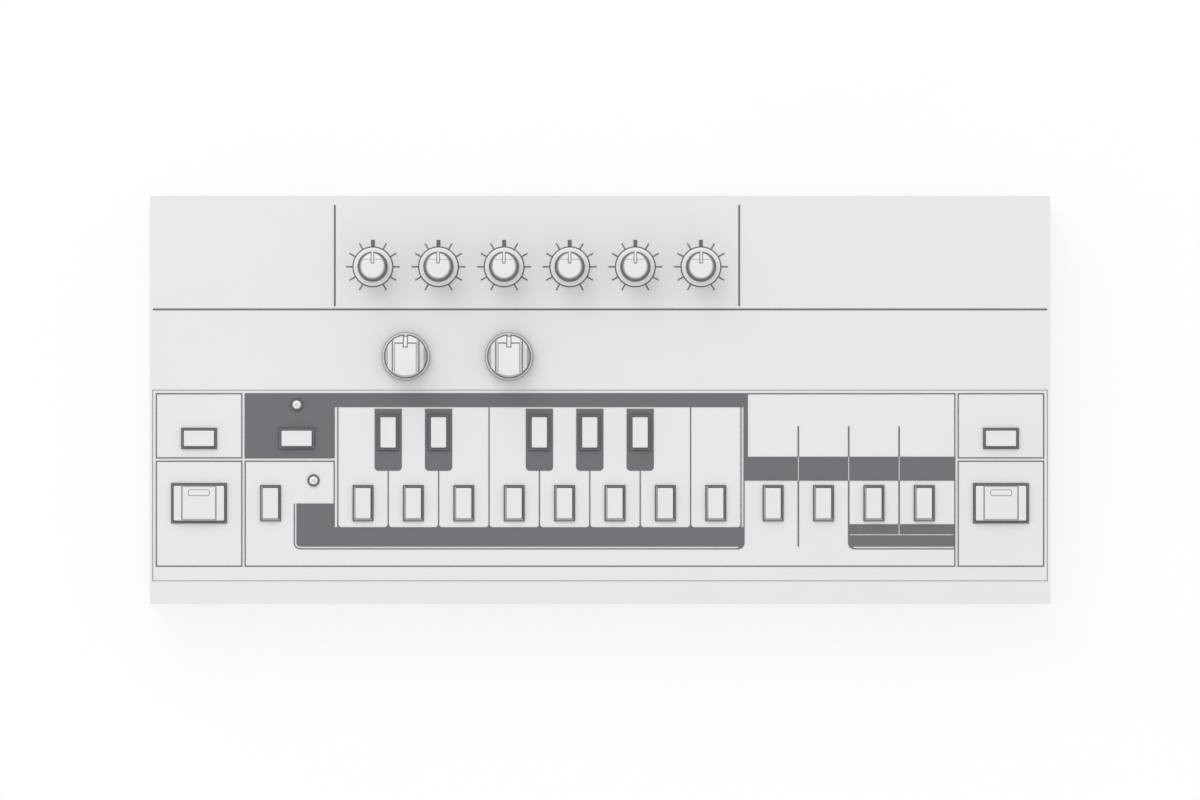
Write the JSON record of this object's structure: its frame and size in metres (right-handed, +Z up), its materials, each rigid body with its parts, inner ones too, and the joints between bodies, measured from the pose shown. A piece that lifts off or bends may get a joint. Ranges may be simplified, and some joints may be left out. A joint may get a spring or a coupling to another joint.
{
  "type": "drum machine",
  "caption": "Flat desktop pattern machine with a sloping top, rotary controls, selectors and a one-octave field of push buttons.",
  "frame": {"origin": "on the table under the middle of the case, at the centre of the object's footprint box", "axes": "+X to the player's right, along the longest side; +Y to the rear, where the sockets are; +Z up"},
  "size_m": [0.3, 0.1394, 0.0523],
  "materials": {
    "case": "fine satin texture",
    "fascia": "satin",
    "print": "flat screen ink",
    "moulding": "matte",
    "cap": "satin",
    "knob": "satin with pale skirt and inlay",
    "rubber": "matte",
    "board": "lacquered laminate",
    "switch": "moulded",
    "lamp": "clear pale lens",
    "lens": "pale diffuser",
    "steel": "plated",
    "chrome": "nickel plated",
    "cable": "flat cable"
  },
  "bodies": {
    "case": {"top_case": "case", "bottom_case": "case", "fascia_plate": "fascia", "panel_film": "print", "case_print": "print", "button_carrier": "moulding", "switch_board": "board", "tact_switches": "switch", "round_leds": "lamp", "main_board": "board", "potentiometers": "steel", "rotary_switches": "steel", "audio_jacks": "chrome", "dc_socket": "switch", "ribbon_cable": "cable", "battery_contacts": "steel", "feet": "rubber", "screws": "steel"},
    "key_c_low_body": {"key_c_low": "cap"},
    "key_d_body": {"key_d": "cap"},
    "key_e_body": {"key_e": "cap"},
    "key_f_body": {"key_f": "cap"},
    "key_g_body": {"key_g": "cap"},
    "key_a_body": {"key_a": "cap"},
    "key_b_body": {"key_b": "cap"},
    "key_c_high_body": {"key_c_high": "cap"},
    "key_c_sharp_body": {"key_c_sharp": "cap"},
    "key_d_sharp_body": {"key_d_sharp": "cap"},
    "key_f_sharp_body": {"key_f_sharp": "cap"},
    "key_g_sharp_body": {"key_g_sharp": "cap"},
    "key_a_sharp_body": {"key_a_sharp": "cap"},
    "down_button_body": {"down_button": "cap"},
    "up_button_body": {"up_button": "cap"},
    "accent_button_body": {"accent_button": "cap"},
    "slide_button_body": {"slide_button": "cap"},
    "time_mode_button_body": {"time_mode_button": "cap"},
    "pitch_mode_button_body": {"pitch_mode_button": "cap"},
    "clear_button_body": {"clear_button": "cap"},
    "back_button_body": {"back_button": "cap"},
    "run_stop_button_body": {"run_stop_button": "cap", "run_stop_lens": "lens"},
    "write_button_body": {"write_button": "cap", "write_lens": "lens"},
    "tempo_control": {"tempo_knob": "knob", "tempo_shaft": "steel"},
    "tone_control": {"tone_knob": "knob", "tone_shaft": "steel"},
    "decay_control": {"decay_knob": "knob", "decay_shaft": "steel"},
    "accent_control": {"accent_knob": "knob", "accent_shaft": "steel"},
    "swing_control": {"swing_knob": "knob", "swing_shaft": "steel"},
    "volume_control": {"volume_knob": "knob", "volume_shaft": "steel"},
    "pattern_selector_control": {"pattern_selector": "knob", "pattern_selector_shaft": "steel"},
    "mode_selector_control": {"mode_selector": "knob", "mode_selector_shaft": "steel"},
    "battery_door_body": {"battery_door": "case"}
  },
  "joints": [
    {"name": "key_c_low_press", "type": "slide", "parent": "case", "child": "key_c_low_body", "axis": [0, 0.1045, -0.9945], "range_m": [0, 0.0009], "stiffness_N_per_m": 300, "springref_m": -0.003},
    {"name": "key_d_press", "type": "slide", "parent": "case", "child": "key_d_body", "axis": [0, 0.1045, -0.9945], "range_m": [0, 0.0009], "stiffness_N_per_m": 300, "springref_m": -0.003},
    {"name": "key_e_press", "type": "slide", "parent": "case", "child": "key_e_body", "axis": [0, 0.1045, -0.9945], "range_m": [0, 0.0009], "stiffness_N_per_m": 300, "springref_m": -0.003},
    {"name": "key_f_press", "type": "slide", "parent": "case", "child": "key_f_body", "axis": [0, 0.1045, -0.9945], "range_m": [0, 0.0009], "stiffness_N_per_m": 300, "springref_m": -0.003},
    {"name": "key_g_press", "type": "slide", "parent": "case", "child": "key_g_body", "axis": [0, 0.1045, -0.9945], "range_m": [0, 0.0009], "stiffness_N_per_m": 300, "springref_m": -0.003},
    {"name": "key_a_press", "type": "slide", "parent": "case", "child": "key_a_body", "axis": [0, 0.1045, -0.9945], "range_m": [0, 0.0009], "stiffness_N_per_m": 300, "springref_m": -0.003},
    {"name": "key_b_press", "type": "slide", "parent": "case", "child": "key_b_body", "axis": [0, 0.1045, -0.9945], "range_m": [0, 0.0009], "stiffness_N_per_m": 300, "springref_m": -0.003},
    {"name": "key_c_high_press", "type": "slide", "parent": "case", "child": "key_c_high_body", "axis": [0, 0.1045, -0.9945], "range_m": [0, 0.0009], "stiffness_N_per_m": 300, "springref_m": -0.003},
    {"name": "key_c_sharp_press", "type": "slide", "parent": "case", "child": "key_c_sharp_body", "axis": [0, 0.1045, -0.9945], "range_m": [0, 0.0009], "stiffness_N_per_m": 300, "springref_m": -0.003},
    {"name": "key_d_sharp_press", "type": "slide", "parent": "case", "child": "key_d_sharp_body", "axis": [0, 0.1045, -0.9945], "range_m": [0, 0.0009], "stiffness_N_per_m": 300, "springref_m": -0.003},
    {"name": "key_f_sharp_press", "type": "slide", "parent": "case", "child": "key_f_sharp_body", "axis": [0, 0.1045, -0.9945], "range_m": [0, 0.0009], "stiffness_N_per_m": 300, "springref_m": -0.003},
    {"name": "key_g_sharp_press", "type": "slide", "parent": "case", "child": "key_g_sharp_body", "axis": [0, 0.1045, -0.9945], "range_m": [0, 0.0009], "stiffness_N_per_m": 300, "springref_m": -0.003},
    {"name": "key_a_sharp_press", "type": "slide", "parent": "case", "child": "key_a_sharp_body", "axis": [0, 0.1045, -0.9945], "range_m": [0, 0.0009], "stiffness_N_per_m": 300, "springref_m": -0.003},
    {"name": "down_button_press", "type": "slide", "parent": "case", "child": "down_button_body", "axis": [0, 0.1045, -0.9945], "range_m": [0, 0.0009], "stiffness_N_per_m": 300, "springref_m": -0.003},
    {"name": "up_button_press", "type": "slide", "parent": "case", "child": "up_button_body", "axis": [0, 0.1045, -0.9945], "range_m": [0, 0.0009], "stiffness_N_per_m": 300, "springref_m": -0.003},
    {"name": "accent_button_press", "type": "slide", "parent": "case", "child": "accent_button_body", "axis": [0, 0.1045, -0.9945], "range_m": [0, 0.0009], "stiffness_N_per_m": 300, "springref_m": -0.003},
    {"name": "slide_button_press", "type": "slide", "parent": "case", "child": "slide_button_body", "axis": [0, 0.1045, -0.9945], "range_m": [0, 0.0009], "stiffness_N_per_m": 300, "springref_m": -0.003},
    {"name": "time_mode_button_press", "type": "slide", "parent": "case", "child": "time_mode_button_body", "axis": [0, 0.1045, -0.9945], "range_m": [0, 0.0009], "stiffness_N_per_m": 300, "springref_m": -0.003},
    {"name": "pitch_mode_button_press", "type": "slide", "parent": "case", "child": "pitch_mode_button_body", "axis": [0, 0.1045, -0.9945], "range_m": [0, 0.0009], "stiffness_N_per_m": 300, "springref_m": -0.003},
    {"name": "clear_button_press", "type": "slide", "parent": "case", "child": "clear_button_body", "axis": [0, 0.1045, -0.9945], "range_m": [0, 0.0009], "stiffness_N_per_m": 300, "springref_m": -0.003},
    {"name": "back_button_press", "type": "slide", "parent": "case", "child": "back_button_body", "axis": [0, 0.1045, -0.9945], "range_m": [0, 0.0009], "stiffness_N_per_m": 300, "springref_m": -0.003},
    {"name": "run_stop_button_press", "type": "slide", "parent": "case", "child": "run_stop_button_body", "axis": [0, 0.1045, -0.9945], "range_m": [0, 0.0009], "stiffness_N_per_m": 300, "springref_m": -0.003},
    {"name": "write_button_press", "type": "slide", "parent": "case", "child": "write_button_body", "axis": [0, 0.1045, -0.9945], "range_m": [0, 0.0009], "stiffness_N_per_m": 300, "springref_m": -0.003},
    {"name": "tempo_control_turn", "type": "hinge", "parent": "case", "child": "tempo_control", "pos_m": [-0.0757, 0.0421, 0.03975], "axis": [0, 0.1045, -0.9945], "range_deg": [-150, 150]},
    {"name": "tone_control_turn", "type": "hinge", "parent": "case", "child": "tone_control", "pos_m": [-0.05383, 0.0421, 0.03975], "axis": [0, 0.1045, -0.9945], "range_deg": [-150, 150]},
    {"name": "decay_control_turn", "type": "hinge", "parent": "case", "child": "decay_control", "pos_m": [-0.03196, 0.0421, 0.03975], "axis": [0, 0.1045, -0.9945], "range_deg": [-150, 150]},
    {"name": "accent_control_turn", "type": "hinge", "parent": "case", "child": "accent_control", "pos_m": [-0.01009, 0.0421, 0.03975], "axis": [0, 0.1045, -0.9945], "range_deg": [-150, 150]},
    {"name": "swing_control_turn", "type": "hinge", "parent": "case", "child": "swing_control", "pos_m": [0.01178, 0.0421, 0.03975], "axis": [0, 0.1045, -0.9945], "range_deg": [-150, 150]},
    {"name": "volume_control_turn", "type": "hinge", "parent": "case", "child": "volume_control", "pos_m": [0.03365, 0.0421, 0.03975], "axis": [0, 0.1045, -0.9945], "range_deg": [-150, 150]},
    {"name": "pattern_selector_turn", "type": "hinge", "parent": "case", "child": "pattern_selector_control", "pos_m": [-0.0647, 0.01236, 0.03662], "axis": [0, 0.1045, -0.9945], "range_deg": [-90, 90]},
    {"name": "mode_selector_turn", "type": "hinge", "parent": "case", "child": "mode_selector_control", "pos_m": [-0.0303, 0.01236, 0.03662], "axis": [0, 0.1045, -0.9945], "range_deg": [-60, 30]},
    {"name": "battery_door_slide", "type": "slide", "parent": "case", "child": "battery_door_body", "axis": [0, 1, 0], "range_m": [0, 0.06]}
  ]
}
